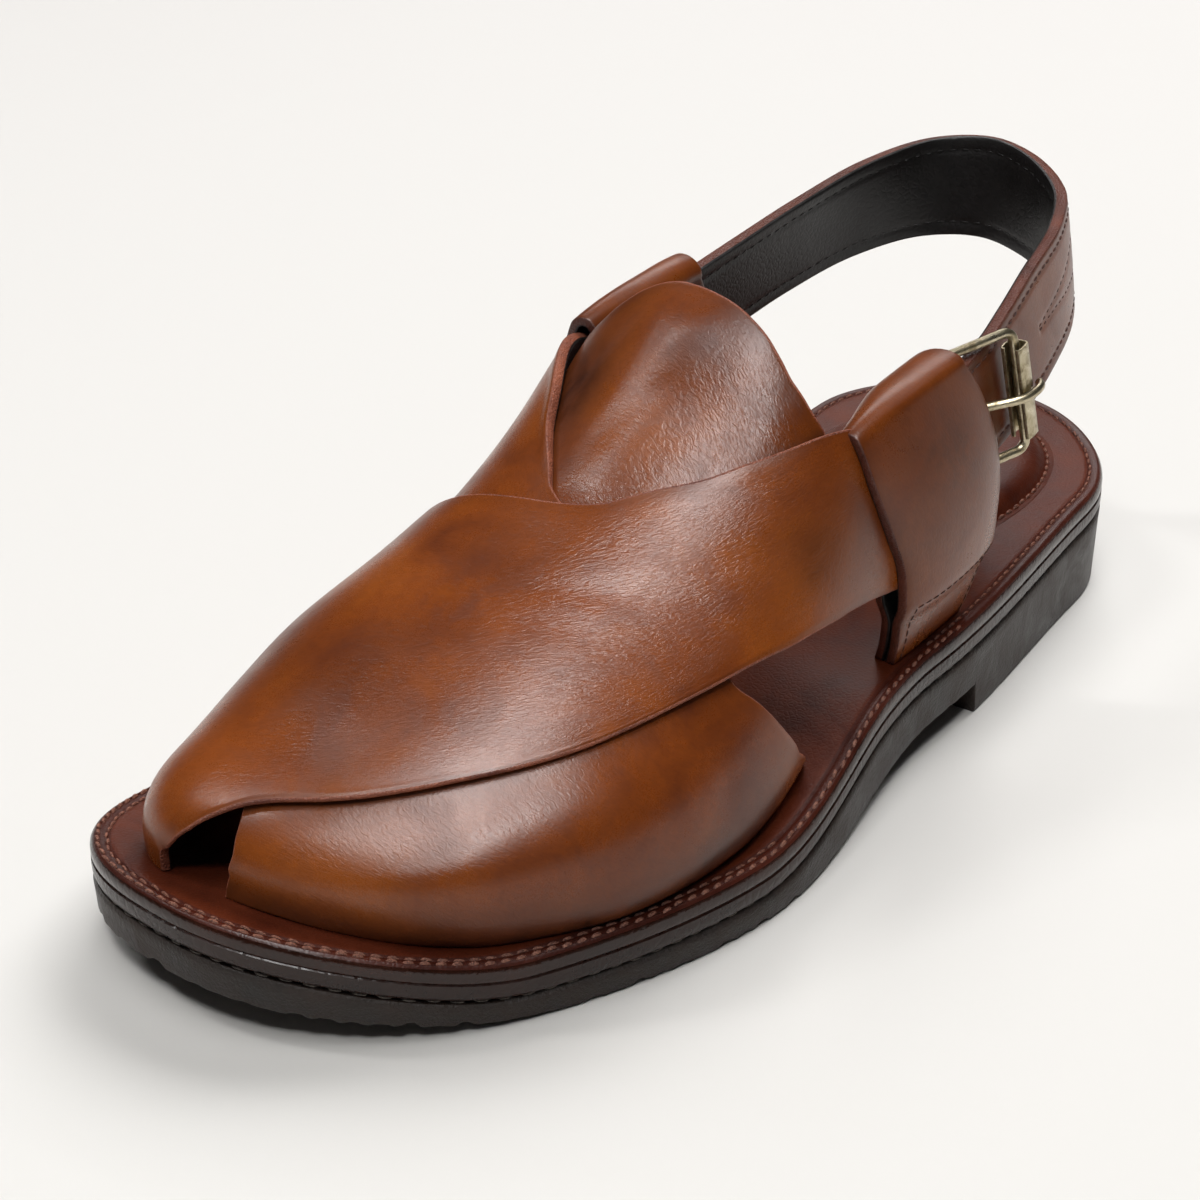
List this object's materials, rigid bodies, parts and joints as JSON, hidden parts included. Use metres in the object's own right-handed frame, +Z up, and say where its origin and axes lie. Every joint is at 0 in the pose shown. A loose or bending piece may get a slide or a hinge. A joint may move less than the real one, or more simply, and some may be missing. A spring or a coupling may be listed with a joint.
{
  "type": "peshawari chappal",
  "caption": "Leather peshawari chappal for the left foot: crossed forefoot wings, tongue, folded side quarters, buckled heel strap, stitched leather insole on a low-heeled rubber sole.",
  "frame": {"origin": "middle of the box round the shoe, on the floor under the sole", "axes": "+X to the toe along the sole, +Y to the wearer's left, the outer side of this left shoe, +Z up from the floor"},
  "size_m": [0.2918, 0.1166, 0.1043],
  "materials": {
    "outsole_rubber": "black moulded rubber, satin",
    "midsole_leather": "leather edge, inked black",
    "insole_leather": "reddish brown leather, semi-matt",
    "upper_leather": "burnished tan to brown leather, soft gloss",
    "buckle_metal": "aged pale brass, satin"
  },
  "bodies": {
    "root": {"outsole": "outsole_rubber", "midsole": "midsole_leather", "insole": "insole_leather", "heel_pad": "insole_leather", "upper": "upper_leather", "tongue": "upper_leather", "lateral_quarter": "upper_leather", "medial_quarter": "upper_leather", "heel_strap": "upper_leather", "buckle_frame": "buckle_metal", "buckle_roller": "buckle_metal", "buckle_prong": "buckle_metal"}
  },
  "joints": []
}
